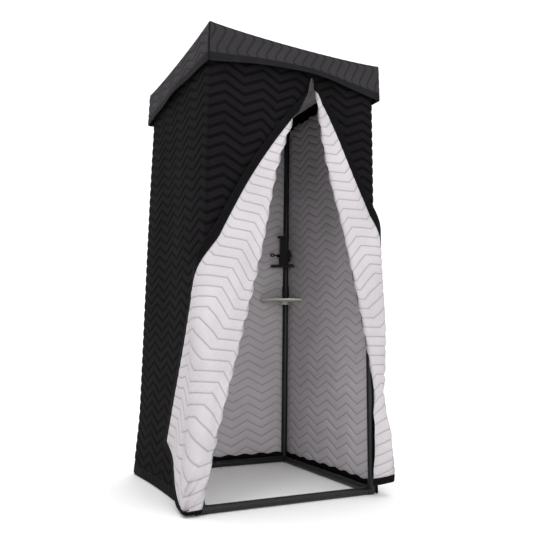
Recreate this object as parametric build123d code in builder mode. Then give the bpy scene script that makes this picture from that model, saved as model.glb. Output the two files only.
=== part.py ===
"""Walk-in curtain booth: a push-fit tube frame with a quilted cover, two fold-back door flaps,
a slip-on roof cap, a clamped tablet holder and a corner shelf.

Frame: X to the right seen from the door, Y to the back, Z up, millimetres.
The origin is on the floor, under the centre of the booth.
"""

import os

from build123d import *

# ---------------------------------------------------------------- driving dimensions
# tube frame
post_spacing_x = 850.0  # centre to centre of the posts, across the door
post_spacing_y = 850.0  # centre to centre of the posts, front to back
rail_height = 17.5  # centre of a bottom rail above the floor, and of a top rail under its flat
top_rail_height = 2088.0  # centre of the top rails above the floor
tube_diameter = 33.4
tube_wall = 3.4
connector_diameter = 37.0  # body of a three-way corner connector
connector_reach = 28.0  # corner centre to the shoulder that a tube stops on
spigot_length = 45.0  # part of a connector that is inside a tube
spigot_clearance = 0.15  # radial
spigot_wall = 3.5
post_joint_height = 996.0  # where the lower and upper posts meet
coupling_length = 80.0
coupling_wall = 3.6
coupling_clearance = 0.05  # radial
coupling_rib = 3.0  # stop ring between the two tube ends

# quilted cover
quilt_thickness = 8.0
cover_clearance = 3.5  # connector surface to the inside of a wall
wall_top = 2095.0
hem_width = 45.0  # binding along the bottom of each wall
hem_thickness = 10.0
hem_floor_gap = 3.0
pocket_thickness = 3.0  # cloth pocket round a top rail
pocket_clearance = 0.3
pocket_tab = 26.0  # how far a pocket's seam reaches below its rail

# door flaps
apex_x = 82.0  # the door's slit runs straight down from here
apex_z = 1985.0
flap_bottom = 20.0
left_fold_z = 35.0  # where the left flap's fold meets its post
right_fold_z = 432.0  # where the right flap's fold meets its post
flap_gap = 12.0  # between a folded flap and the wall under it
fold_margin = 4.0  # from a fold line to the cloth on each side of it
slit_gap = 3.0  # from the slit, or a post corner, to the cloth
binding_width = 36.0
binding_thickness = 9.0
flap_top = 1915.0  # the moving cloth starts under the roof cap's skirt
bend_margin = 6.0  # from the bend at a post to the cloth on each side of it

# roof cap
roof_clearance = 0.5  # above the rail pockets
roof_thickness = 10.0
skirt_height = 186.0
skirt_thickness = 8.0
skirt_clearance = 13.0  # wall to the inside of the skirt

# tablet holder on the back right post, facing the middle of the booth
holder_height = 1225.0  # centre of the clamp and of the tilt pin
clamp_height = 70.0
clamp_width = 62.0
clamp_block_back = 8.0  # post centre to the back and front of the clamp's block
clamp_block_front = 24.0
clamp_wall = 3.0
liner_thickness = 1.1
liner_clearance = 0.05  # radial, on the tube
arm_diameter = 18.0
arm_length = 62.0  # from the post's centre
clamp_screw_diameter = 8.0
clamp_screw_reach = 80.0  # post centre to the start of the screw's loop
loop_length = 29.0
loop_height = 23.0
loop_hole = 13.0
loop_thickness = 6.0
pivot_setback = 31.0  # post centre to the tilt pin
pivot_diameter = 8.0
pivot_clearance = 0.1  # radial
lug_radius = 6.2
lug_inside = 11.0  # middle of the holder to a lug
lug_thickness = 8.0
tongue_clearance = 0.5  # to each lug
knob_diameter = 21.0
knob_thickness = 12.0
knob_gap = 2.0  # beside the clamp block
head_setback = 38.0  # post centre to the back of the column
column_width = 44.0
column_depth = 14.0
column_bottom = 1170.0
column_top = 1332.0
stem_width = 20.0
stem_thickness = 5.0
stem_length = 85.0
stem_clearance = 0.4
clip_width = 64.0
clip_reach = 26.0  # in front of the column
clip_thickness = 9.0
clip_lip = 4.0
clip_gap = 0.5  # above the column when shut
ledge_width = 142.0
ledge_reach = 32.0  # in front of the column
ledge_bottom = 1147.0
ledge_thickness = 5.0
ledge_lip_height = 16.0
ledge_lip_thickness = 4.0
ledge_plate_height = 62.0
ledge_plate_width = 52.0

# corner shelf on the same post
shelf_top = 950.0
shelf_thickness = 10.0
shelf_radius = 186.0
shelf_wall_gap = 4.5
shelf_notch_clearance = 0.6  # radial, round the tube
shelf_corner_cut = 8.0  # post centre to the edges of the open back corner
collar_height = 18.0
collar_wall = 3.2
collar_clearance = 0.05  # radial, on the tube
collar_boss_width = 30.0
collar_boss_reach = 30.0
thumb_screw_diameter = 6.0
thumb_screw_clearance = 0.1  # radial
thumb_screw_stem = 35.0  # post centre to the screw's head
thumb_screw_head_diameter = 15.0
thumb_screw_head_thickness = 9.0

# ---------------------------------------------------------------- worked-out places
half_x = post_spacing_x / 2
half_y = post_spacing_y / 2
tube_radius = tube_diameter / 2
bore_radius = tube_radius - tube_wall
connector_radius = connector_diameter / 2
wall_in_x = half_x + connector_radius + cover_clearance
wall_in_y = half_y + connector_radius + cover_clearance
wall_out_x = wall_in_x + quilt_thickness
wall_out_y = wall_in_y + quilt_thickness
wall_bottom = hem_floor_gap + hem_width
pocket_radius = tube_radius + pocket_clearance + pocket_thickness
roof_underside = top_rail_height + pocket_radius + roof_clearance
skirt_in_x = wall_out_x + skirt_clearance
skirt_in_y = wall_out_y + skirt_clearance
SIDES = {"left": -1, "right": 1}
DEPTHS = {"front": -1, "back": 1}
LEVELS = {"bottom": (rail_height, 1), "top": (top_rail_height, -1)}

os.makedirs("parts", exist_ok=True)


def save(piece, name):
    """Labels one finished piece and writes its STEP file."""
    piece.label = name
    export_step(piece, f"parts/{name}.step")


# ---------------------------------------------------------------- tube frame
def corner_connector(name, side, depth, level):
    """Three-way corner: three stubs round a ball, each with a spigot that a tube pushes on to."""
    height, up = LEVELS[level]
    centre = Vector(SIDES[side] * half_x, DEPTHS[depth] * half_y, height)
    arms = [Vector(-SIDES[side], 0, 0), Vector(0, -DEPTHS[depth], 0), Vector(0, 0, up)]
    spigot_radius = bore_radius - spigot_clearance
    with BuildPart() as connector:
        with Locations(centre):
            Sphere(connector_radius)
        for arm in arms:
            with BuildSketch(Plane(origin=centre, z_dir=arm)):
                Circle(connector_radius)
            extrude(amount=connector_reach)
            with BuildSketch(Plane(origin=centre + arm * connector_reach, z_dir=arm)):
                Circle(spigot_radius)
            extrude(amount=spigot_length)
        for arm in arms:
            tip = centre + arm * (connector_reach + spigot_length)
            with BuildSketch(Plane(origin=tip, z_dir=-arm)):
                Circle(spigot_radius - spigot_wall)
            extrude(amount=spigot_length, mode=Mode.SUBTRACT)
        # the moulded flat that the frame stands on
        with BuildSketch(Plane(origin=centre - Vector(0, 0, up * rail_height), z_dir=(0, 0, -up))):
            Rectangle(4 * connector_reach, 4 * connector_reach)
        extrude(amount=connector_radius, mode=Mode.SUBTRACT)
    save(connector.part, name)


def tube(name, start, end):
    """One straight length of frame tube between two points."""
    run = end - start
    with BuildPart() as length:
        with BuildSketch(Plane(origin=start, z_dir=run.normalized())):
            Circle(tube_radius)
            Circle(bore_radius, mode=Mode.SUBTRACT)
        extrude(amount=run.length)
    save(length.part, name)


run_x = half_x - connector_reach
run_y = half_y - connector_reach
for level, (height, up) in LEVELS.items():
    for depth, y_sign in DEPTHS.items():
        for side in SIDES:
            corner_connector(f"{level}_connector_{depth}_{side}", side, depth, level)
        y = y_sign * half_y
        tube(f"{level}_rail_{depth}", Vector(-run_x, y, height), Vector(run_x, y, height))
    for side, x_sign in SIDES.items():
        x = x_sign * half_x
        tube(f"{level}_rail_{side}", Vector(x, -run_y, height), Vector(x, run_y, height))

for depth, y_sign in DEPTHS.items():
    for side, x_sign in SIDES.items():
        foot = Vector(x_sign * half_x, y_sign * half_y, rail_height + connector_reach)
        joint_low = Vector(foot.X, foot.Y, post_joint_height - coupling_rib / 2)
        joint_high = Vector(foot.X, foot.Y, post_joint_height + coupling_rib / 2)
        head = Vector(foot.X, foot.Y, top_rail_height - connector_reach)
        tube(f"lower_post_{depth}_{side}", foot, joint_low)
        tube(f"upper_post_{depth}_{side}", joint_high, head)

coupling_bore = tube_radius + coupling_clearance
with BuildPart() as post_couplings:
    with BuildSketch(Plane.XY.offset(post_joint_height - coupling_length / 2)):
        with GridLocations(post_spacing_x, post_spacing_y, 2, 2):
            Circle(coupling_bore + coupling_wall)
            Circle(coupling_bore, mode=Mode.SUBTRACT)
    extrude(amount=coupling_length)
    with BuildSketch(Plane.XY.offset(post_joint_height - coupling_rib / 2)):
        with GridLocations(post_spacing_x, post_spacing_y, 2, 2):
            Circle(coupling_bore)
            Circle(bore_radius, mode=Mode.SUBTRACT)
    extrude(amount=coupling_rib)
save(post_couplings.part, "post_couplings")


# ---------------------------------------------------------------- walls, hems and rail pockets
def slab(name, low, high):
    """One flat piece between two opposite corners."""
    size = Vector(*high) - Vector(*low)
    middle = Vector(*low) + size / 2
    with BuildPart() as piece:
        with Locations(middle):
            Box(size.X, size.Y, size.Z)
    save(piece.part, name)


hem_extra = (hem_thickness - quilt_thickness) / 2
for side, x_sign in SIDES.items():
    inner, outer = sorted((x_sign * wall_in_x, x_sign * wall_out_x))
    slab(f"{side}_wall", (inner, -wall_out_y, wall_bottom), (outer, wall_out_y, wall_top))
    slab(
        f"{side}_wall_hem",
        (inner - hem_extra, -wall_out_y, hem_floor_gap),
        (outer + hem_extra, wall_out_y, wall_bottom),
    )
slab("back_wall", (-wall_in_x, wall_in_y, wall_bottom), (wall_in_x, wall_out_y, wall_top))
slab(
    "back_wall_hem",
    (-wall_in_x + hem_extra, wall_in_y - hem_extra, hem_floor_gap),
    (wall_in_x - hem_extra, wall_out_y + hem_extra, wall_bottom),
)


def rail_pocket(plane, length):
    """Cloth pocket round a top rail. The plane's X points out, to the seam with the wall."""
    seam_in = tube_radius + pocket_clearance
    seam_out = connector_radius + cover_clearance
    down = -1 if plane.y_dir.Z > 0 else 1
    with BuildPart() as pocket:
        with BuildSketch(plane):
            Circle(pocket_radius)
            with Locations(((seam_in + seam_out) / 2, down * pocket_tab / 2)):
                Rectangle(seam_out - seam_in, pocket_tab)
            Circle(seam_in, mode=Mode.SUBTRACT)
        extrude(amount=length)
    return pocket.part


for side, x_sign in SIDES.items():
    start = Vector(x_sign * half_x, -run_y, top_rail_height)
    side_pocket = rail_pocket(Plane(origin=start, x_dir=(x_sign, 0, 0), z_dir=(0, 1, 0)), 2 * run_y)
    save(side_pocket, f"{side}_rail_pocket")
for depth, y_sign in DEPTHS.items():
    start = Vector(-run_x, y_sign * half_y, top_rail_height)
    end_pocket = rail_pocket(Plane(origin=start, x_dir=(0, y_sign, 0), z_dir=(1, 0, 0)), 2 * run_x)
    save(end_pocket, f"{depth}_rail_pocket")

# ---------------------------------------------------------------- front walls and door flaps
# Each flap closes flat in the door's plane. It is stored folded back half a turn about its fold
# line and bent a quarter turn round its post, and that is where its solids are.
door_face = Plane(origin=(0, -wall_out_y, 0), x_dir=(1, 0, 0), z_dir=(0, -1, 0))
fold_y = -wall_out_y - flap_gap / 2
folded_y = -wall_out_y - flap_gap - quilt_thickness / 2
folded_x = wall_out_x + flap_gap + quilt_thickness / 2


class FoldLine:
    """The line that one flap folds back on, in the door's plane, from its post up to the slit."""

    def __init__(self, sign, foot_z):
        self.sign = sign
        self.foot = Vector(sign * wall_in_x, foot_z)
        self.run = (Vector(apex_x, apex_z) - self.foot).normalized()
        self.across = Vector(-sign * self.run.Y, sign * self.run.X)
        self.axis = Axis((self.foot.X, fold_y, self.foot.Y), (self.run.X, 0, self.run.Y))

    def at_x(self, x, shift):
        """Point at an X of the line moved across, towards the flap."""
        near = self.foot + self.across * shift
        return (x, near.Y + (x - near.X) * self.run.Y / self.run.X)

    def at_z(self, z, shift):
        """Point at a height of the line moved across, towards the flap."""
        near = self.foot + self.across * shift
        return (near.X + (z - near.Y) * self.run.X / self.run.Y, z)

    def fixed_outline(self):
        """Outline of the front wall, between its post, the top and the fold."""
        slit_x = apex_x + self.sign * slit_gap
        top = [(self.foot.X, wall_top), (slit_x, wall_top)]
        return top + [self.at_x(slit_x, -fold_margin), self.at_x(self.foot.X, -fold_margin)]

    def flap_outline(self, inset):
        """Outline of the closed flap, with its free edges moved in."""
        slit_x = apex_x + self.sign * (slit_gap + inset)
        low_z = flap_bottom + inset
        post_x = self.foot.X - self.sign * slit_gap
        corner = self.at_x(post_x, fold_margin)
        free = [(slit_x, low_z), self.at_x(slit_x, fold_margin)]
        if corner[1] > low_z:
            return [(post_x, low_z)] + free + [corner]
        return [self.at_z(low_z, fold_margin)] + free


def door_sheet(thickness, outline, cut=None):
    """A flat piece in the door's plane, centred on the wall's thickness."""
    with BuildPart() as sheet:
        with BuildSketch(door_face.offset((thickness - quilt_thickness) / 2)):
            with BuildLine():
                Polyline(*outline, close=True)
            make_face()
            if cut:
                with BuildLine():
                    Polyline(*cut, close=True)
                make_face(mode=Mode.SUBTRACT)
        extrude(amount=-thickness)
    return sheet.part


def keep_side(piece, origin, normal):
    """The part of a piece on the side of a plane that its normal points to."""
    with BuildPart() as kept:
        add(piece)
        split(bisect_by=Plane(origin=origin, z_dir=normal), keep=Keep.TOP)
    return kept.part


def fold_back(closed, fold):
    """A closed piece folded back: the part over the front wall, and the part round the post."""
    folded = closed.rotate(fold.axis, 180)
    folded = keep_side(folded, (0, 0, flap_top), (0, 0, -1))
    sign = fold.sign
    over_front = keep_side(folded, (sign * (folded_x - bend_margin), 0, 0), (-sign, 0, 0))
    past_post = keep_side(folded, (sign * (folded_x + bend_margin), 0, 0), (sign, 0, 0))
    bend = Axis((sign * folded_x, folded_y, 0), (0, 0, 1))
    return over_front, past_post.rotate(bend, sign * 90)


for side, fold_z in (("left", left_fold_z), ("right", right_fold_z)):
    fold = FoldLine(SIDES[side], fold_z)
    cloth = fold.flap_outline(binding_width)
    save(door_sheet(quilt_thickness, fold.fixed_outline()), f"front_{side}_wall")
    flap, flap_tip = fold_back(door_sheet(quilt_thickness, cloth), fold)
    save(flap, f"{side}_flap")
    save(flap_tip, f"{side}_flap_tip")
    binding = door_sheet(binding_thickness, fold.flap_outline(0), cloth)
    flap_edge, tip_edge = fold_back(binding, fold)
    save(flap_edge, f"{side}_flap_binding")
    save(tip_edge, f"{side}_flap_tip_binding")

# ---------------------------------------------------------------- roof cap
skirt_out_x = skirt_in_x + skirt_thickness
skirt_out_y = skirt_in_y + skirt_thickness
roof_top = roof_underside + roof_thickness
skirt_low = roof_top - skirt_height
slab("roof_panel", (-skirt_out_x, -skirt_out_y, roof_underside), (skirt_out_x, skirt_out_y, roof_top))
for side, x_sign in SIDES.items():
    inner, outer = sorted((x_sign * skirt_in_x, x_sign * skirt_out_x))
    slab(f"{side}_skirt", (inner, -skirt_in_y, skirt_low), (outer, skirt_in_y, roof_underside))
for depth, y_sign in DEPTHS.items():
    inner, outer = sorted((y_sign * skirt_in_y, y_sign * skirt_out_y))
    slab(f"{depth}_skirt", (-skirt_out_x, inner, skirt_low), (skirt_out_x, outer, roof_underside))

# ---------------------------------------------------------------- tablet holder
# Local frame at the post: X to the holder's left hand side wall, Y up, Z into the booth.
into_booth = Vector(-1, -1, 0).normalized()
sideways = Vector(1, -1, 0).normalized()
post_axis = Vector(half_x, half_y, 0)
holder_frame = Plane(origin=post_axis + Vector(0, 0, holder_height), x_dir=sideways, z_dir=into_booth)
clamp_base = Plane(origin=post_axis + Vector(0, 0, holder_height - clamp_height / 2))
liner_radius = tube_radius + liner_clearance + liner_thickness
head_front = head_setback + column_depth


def across_pin(offset):
    """Plane square to the tilt pin, this far along it. Its X points into the booth."""
    centre = holder_frame.from_local_coords((offset, 0, pivot_setback))
    return Plane(origin=centre, x_dir=into_booth, z_dir=sideways)


def upright(width, low, high):
    """A rectangle between two heights, in a sketch that faces into the booth."""
    with Locations((0, (low + high) / 2 - holder_height)):
        Rectangle(width, high - low)


with BuildPart() as holder_liner:
    with BuildSketch(clamp_base):
        Circle(liner_radius)
        Circle(tube_radius + liner_clearance, mode=Mode.SUBTRACT)
    extrude(amount=clamp_height)
save(holder_liner.part, "holder_liner")

arm_start = Plane(origin=holder_frame.origin, z_dir=(-1, 0, 0))
with BuildPart() as holder_clamp:
    with BuildSketch(clamp_base):
        Circle(liner_radius + clamp_wall)
    extrude(amount=clamp_height)
    with BuildSketch(holder_frame.offset(clamp_block_back)):
        Rectangle(clamp_width, clamp_height)
    extrude(amount=clamp_block_front - clamp_block_back)
    for lug_start in (lug_inside, -lug_inside - lug_thickness):
        lug_reach = pivot_setback - clamp_block_front
        with BuildSketch(across_pin(lug_start)):
            Circle(lug_radius)
            with Locations((-lug_reach / 2, 0)):
                Rectangle(lug_reach, 2 * lug_radius)
        extrude(amount=lug_thickness)
    with BuildSketch(arm_start):
        Circle(arm_diameter / 2)
    extrude(amount=arm_length)
    with BuildSketch(arm_start):
        Circle(clamp_screw_diameter / 2 + pivot_clearance)
    extrude(amount=arm_length, mode=Mode.SUBTRACT)
    with BuildSketch(across_pin(-clamp_width)):
        Circle(pivot_diameter / 2)
    extrude(amount=2 * clamp_width, mode=Mode.SUBTRACT)
    with BuildSketch(clamp_base):
        Circle(liner_radius)
    extrude(amount=clamp_height, mode=Mode.SUBTRACT)
save(holder_clamp.part, "holder_clamp")

loop_centre = holder_frame.origin - Vector(clamp_screw_reach + loop_length / 2, 0, 0)
with BuildPart() as holder_screw:
    with BuildSketch(arm_start.offset(liner_radius)):
        Circle(clamp_screw_diameter / 2)
    extrude(amount=clamp_screw_reach + loop_length / 4 - liner_radius)
    with BuildSketch(Plane(origin=loop_centre, x_dir=(1, 0, 0), z_dir=(0, 1, 0))):
        Ellipse(loop_length / 2, loop_height / 2)
    extrude(amount=loop_thickness / 2, both=True)
    with BuildSketch(Plane(origin=loop_centre, x_dir=(1, 0, 0), z_dir=(0, 1, 0))):
        Circle(loop_hole / 2)
    extrude(amount=loop_thickness, both=True, mode=Mode.SUBTRACT)
    # the end that presses on the liner is dished to the liner's curve
    with BuildSketch(clamp_base):
        Circle(liner_radius)
    extrude(amount=clamp_height, mode=Mode.SUBTRACT)
save(holder_screw.part, "holder_screw")

knob_start = clamp_width / 2 + knob_gap
pin_end = lug_inside + lug_thickness
with BuildPart() as holder_pin:
    with BuildSketch(across_pin(-pin_end)):
        Circle(pivot_diameter / 2)
    extrude(amount=pin_end + knob_start)
    with BuildSketch(across_pin(knob_start)):
        Circle(knob_diameter / 2)
    extrude(amount=knob_thickness)
save(holder_pin.part, "holder_pin")

tongue_half = lug_inside - tongue_clearance
slot_bottom = column_top - stem_length - stem_clearance
stem_back = head_setback + (column_depth - stem_thickness) / 2
with BuildPart() as holder_column:
    with BuildSketch(holder_frame.offset(head_setback)):
        upright(column_width, column_bottom, column_top)
    extrude(amount=column_depth)
    tongue_reach = head_setback - pivot_setback
    with BuildSketch(across_pin(-tongue_half)):
        Circle(lug_radius)
        with Locations((tongue_reach / 2, 0)):
            Rectangle(tongue_reach, 2 * lug_radius)
        Circle(pivot_diameter / 2 + pivot_clearance, mode=Mode.SUBTRACT)
    extrude(amount=2 * tongue_half)
    with BuildSketch(holder_frame.offset(stem_back - stem_clearance)):
        upright(stem_width + 2 * stem_clearance, slot_bottom, column_top)
    extrude(amount=stem_thickness + 2 * stem_clearance, mode=Mode.SUBTRACT)
save(holder_column.part, "holder_column")

ledge_front_face = holder_frame.offset(head_front + ledge_reach)
with BuildPart() as holder_ledge:
    with BuildSketch(ledge_front_face):
        upright(ledge_width, ledge_bottom, ledge_bottom + ledge_thickness)
    extrude(amount=-ledge_reach)
    with BuildSketch(ledge_front_face):
        upright(ledge_width, ledge_bottom, ledge_bottom + ledge_lip_height)
    extrude(amount=-ledge_lip_thickness)
    with BuildSketch(holder_frame.offset(head_front)):
        upright(ledge_plate_width, ledge_bottom, ledge_bottom + ledge_plate_height)
    extrude(amount=ledge_lip_thickness)
save(holder_ledge.part, "holder_ledge")

clip_low = column_top + clip_gap
clip_high = clip_low + clip_thickness
clip_front_face = holder_frame.offset(head_front + clip_reach)
with BuildPart() as holder_clip:
    with BuildSketch(clip_front_face):
        upright(clip_width, clip_low, clip_high)
    extrude(amount=-clip_reach - column_depth)
    with BuildSketch(clip_front_face):
        upright(clip_width, clip_low - clip_lip, clip_high)
    extrude(amount=-clip_lip)
    with BuildSketch(holder_frame.offset(stem_back)):
        upright(stem_width, column_top - stem_length, clip_low)
    extrude(amount=stem_thickness)
save(holder_clip.part, "holder_clip")

# ---------------------------------------------------------------- corner shelf
shelf_corner = Vector(wall_in_x - shelf_wall_gap, wall_in_y - shelf_wall_gap, 0)
shelf_underside = Vector(0, 0, shelf_top - shelf_thickness)
with BuildPart() as shelf_board:
    with BuildSketch(Plane(origin=shelf_corner + shelf_underside)):
        Circle(shelf_radius)
        Rectangle(shelf_radius, shelf_radius, align=(Align.MAX, Align.MAX), mode=Mode.INTERSECT)
    extrude(amount=shelf_thickness)
    with BuildSketch(Plane(origin=post_axis + shelf_underside)):
        Circle(tube_radius + shelf_notch_clearance)
        with Locations((-shelf_corner_cut, -shelf_corner_cut)):
            Rectangle(connector_diameter, connector_diameter, align=(Align.MIN, Align.MIN))
    extrude(amount=shelf_thickness, mode=Mode.SUBTRACT)
save(shelf_board.part, "shelf_board")

collar_plane = Plane(
    origin=post_axis + shelf_underside - Vector(0, 0, collar_height), x_dir=into_booth
)
collar_bore = tube_radius + collar_clearance
screw_plane = Plane(
    origin=collar_plane.origin + Vector(0, 0, collar_height / 2), x_dir=sideways, z_dir=into_booth
)
with BuildPart() as shelf_collar:
    with BuildSketch(collar_plane):
        Circle(collar_bore + collar_wall)
        Rectangle(collar_boss_reach, collar_boss_width, align=(Align.MIN, Align.CENTER))
        Circle(collar_bore, mode=Mode.SUBTRACT)
    extrude(amount=collar_height)
    with BuildSketch(screw_plane):
        Circle(thumb_screw_diameter / 2 + thumb_screw_clearance)
    extrude(amount=collar_boss_reach, mode=Mode.SUBTRACT)
save(shelf_collar.part, "shelf_collar")

with BuildPart() as shelf_screw:
    with BuildSketch(screw_plane.offset(collar_bore)):
        Circle(thumb_screw_diameter / 2)
    extrude(amount=thumb_screw_stem - collar_bore)
    with BuildSketch(screw_plane.offset(thumb_screw_stem)):
        Circle(thumb_screw_head_diameter / 2)
    extrude(amount=thumb_screw_head_thickness)
save(shelf_screw.part, "shelf_screw")
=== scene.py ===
"""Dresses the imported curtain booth: quilted cover, folded-back door flaps, roof cap, frame, holder and shelf.

Every length is in metres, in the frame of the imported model: X to the right seen from the door, Y to
the back, Z up, with the origin on the floor under the middle of the booth.
"""

import logging
import math
from dataclasses import dataclass, field, replace
from enum import Enum
from typing import Any, Callable, Iterable

import bmesh
import bpy
import numpy as np
from mathutils import Matrix, Vector


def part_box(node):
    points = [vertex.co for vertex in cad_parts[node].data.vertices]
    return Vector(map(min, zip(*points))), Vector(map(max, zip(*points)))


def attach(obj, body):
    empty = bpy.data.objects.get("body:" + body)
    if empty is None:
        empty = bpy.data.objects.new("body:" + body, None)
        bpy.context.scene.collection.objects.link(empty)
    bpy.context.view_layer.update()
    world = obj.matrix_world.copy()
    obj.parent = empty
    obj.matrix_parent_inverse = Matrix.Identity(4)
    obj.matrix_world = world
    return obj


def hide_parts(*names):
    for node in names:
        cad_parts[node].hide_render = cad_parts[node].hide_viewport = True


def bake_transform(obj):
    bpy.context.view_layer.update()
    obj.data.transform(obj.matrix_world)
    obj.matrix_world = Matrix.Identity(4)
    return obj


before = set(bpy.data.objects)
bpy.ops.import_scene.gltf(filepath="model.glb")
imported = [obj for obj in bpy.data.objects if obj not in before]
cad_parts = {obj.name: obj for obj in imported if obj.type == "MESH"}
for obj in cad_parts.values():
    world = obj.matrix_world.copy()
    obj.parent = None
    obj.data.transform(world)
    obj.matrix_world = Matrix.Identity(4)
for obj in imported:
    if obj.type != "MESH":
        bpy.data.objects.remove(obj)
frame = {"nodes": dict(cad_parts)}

Array = np.ndarray
Surface = Callable[[Array, Array], Array]
Measure = Callable[[Array, Array], Array]
Colour = tuple[float, float, float]
Pair = tuple[float, float]
TAPE_CELL = (0.012, 0.006)
TINY = 1e-12


# ---------------------------------------------------------------- shader language
class Field:
    """A number that varies over a surface: one shader socket that takes part in Python sums."""

    def __init__(self, shader: "Shader", socket: bpy.types.NodeSocket) -> None:
        """Wraps one output socket.

        Args:
            shader: the material that the socket belongs to.
            socket: the output that carries the number.
        """
        self.shader = shader
        self.socket = socket

    def maths(self, operation: str, *others: Any, clamp: bool = False) -> "Field":
        """Adds one Math node with this value first.

        Args:
            operation: the Math node's operation.
            others: the values or fields of its other sockets.
            clamp: whether the result is kept between 0 and 1.

        Returns:
            The node's result.
        """
        inputs = dict(enumerate((self, *others)))
        node = self.shader.node("ShaderNodeMath", {"operation": operation, "use_clamp": clamp}, inputs)
        return Field(self.shader, node.outputs[0])

    def __add__(self, other: Any) -> "Field":
        """This plus another."""
        return self.maths("ADD", other)

    __radd__ = __add__

    def __sub__(self, other: Any) -> "Field":
        """This less another."""
        return self.maths("SUBTRACT", other)

    def __rsub__(self, other: Any) -> "Field":
        """A number less this."""
        return (self * -1.0).maths("ADD", other)

    def __mul__(self, other: Any) -> "Field":
        """This times another."""
        return self.maths("MULTIPLY", other)

    __rmul__ = __mul__

    def __truediv__(self, other: Any) -> "Field":
        """This over another."""
        return self.maths("DIVIDE", other)

    def __abs__(self) -> "Field":
        """This without its sign."""
        return self.maths("ABSOLUTE")

    def fraction(self) -> "Field":
        """What is left above the whole number below."""
        return self.maths("FRACT")

    def wave(self) -> "Field":
        """The sine of a turn for each whole number."""
        return (self * math.tau).maths("SINE")

    def band(self, low: float, high: float) -> "Field":
        """Runs smoothly from 0 at low to 1 at high.

        Args:
            low: where the result is 0.
            high: where the result is 1.

        Returns:
            The smooth step, which falls where high is under low.
        """
        node = self.shader.node(
            "ShaderNodeMapRange",
            {"interpolation_type": "SMOOTHSTEP"},
            {"Value": self, "From Min": low, "From Max": high},
        )
        return Field(self.shader, node.outputs[0])


class Shader:
    """One material with a single Principled surface, and the nodes that feed it."""

    def __init__(self, name: str, settings: dict[str, Any]) -> None:
        """Starts a material.

        Args:
            name: the material's name.
            settings: the values of the surface's own sockets.
        """
        self.material = bpy.data.materials.new(name)
        self.material.use_nodes = True
        self.tree = self.material.node_tree
        self.tree.nodes.clear()
        self.surface = self.node("ShaderNodeBsdfPrincipled", {}, settings)
        output = self.node("ShaderNodeOutputMaterial", {}, {})
        self.tree.links.new(self.surface.outputs[0], output.inputs["Surface"])

    def node(self, kind: str, settings: dict[str, Any], inputs: dict[Any, Any]) -> bpy.types.Node:
        """Adds a node.

        Args:
            kind: the node's type name.
            settings: its properties, set before its sockets.
            inputs: a value, a field or a socket for each input, by name or place.

        Returns:
            The new node.
        """
        made = self.tree.nodes.new(kind)
        for key, value in settings.items():
            setattr(made, key, value)
        for key, value in inputs.items():
            target = made.inputs[key]
            if isinstance(value, Field):
                value = value.socket
            if isinstance(value, bpy.types.NodeSocket):
                self.tree.links.new(value, target)
            elif isinstance(value, tuple) and len(value) == 3 and target.type == "RGBA":
                target.default_value = (*value, 1.0)
            else:
                target.default_value = value
        return made

    def uv(self, layer: str) -> tuple[Field, Field]:
        """Reads the two numbers of one UV map.

        Args:
            layer: the map's name.

        Returns:
            Its two parts as fields.
        """
        read = self.node("ShaderNodeUVMap", {"uv_map": layer}, {})
        parts = self.node("ShaderNodeSeparateXYZ", {}, {0: read.outputs[0]})
        return Field(self, parts.outputs[0]), Field(self, parts.outputs[1])

    def place(self, stretch: tuple[float, float, float] = (1.0, 1.0, 1.0)) -> bpy.types.NodeSocket:
        """The point on the piece itself, in metres, stretched along its axes."""
        read = self.node("ShaderNodeTexCoord", {}, {})
        scaled = self.node(
            "ShaderNodeVectorMath", {"operation": "MULTIPLY"}, {0: read.outputs["Object"], 1: stretch}
        )
        return scaled.outputs[0]

    def noise(self, scale: float, detail: float = 2.0, at: Any = None) -> Field:
        """Adds smooth noise between 0 and 1.

        Args:
            scale: bumps per metre.
            detail: how many finer layers are added.
            at: the point to read, or the piece's own point.

        Returns:
            The noise.
        """
        inputs = {"Vector": self.place() if at is None else at, "Scale": scale, "Detail": detail}
        return Field(self, self.node("ShaderNodeTexNoise", {}, inputs).outputs[0])

    def mix(self, first: Any, second: Any, share: Any) -> bpy.types.NodeSocket:
        """Mixes two colours.

        Args:
            first: the colour where share is 0.
            second: the colour where share is 1.
            share: how much of the second shows.

        Returns:
            The mixed colour's socket.
        """
        settings = {"data_type": "RGBA", "clamp_factor": True}
        made = self.node("ShaderNodeMix", settings, {0: share, 6: first, 7: second})
        return made.outputs[2]

    def finish(self, colour: Any, roughness: Field, relief: Field, depth: float) -> bpy.types.Material:
        """Feeds the surface and closes the material.

        Args:
            colour: the base colour's socket.
            roughness: the roughness over the surface.
            relief: height between 0 and 1.
            depth: metres between the two.

        Returns:
            The material.
        """
        bump = self.node(
            "ShaderNodeBump", {}, {"Strength": 1.0, "Distance": depth, "Height": relief}
        )
        self.tree.links.new(colour, self.surface.inputs["Base Color"])
        self.tree.links.new(roughness.socket, self.surface.inputs["Roughness"])
        self.tree.links.new(bump.outputs[0], self.surface.inputs["Normal"])
        return self.material


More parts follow.
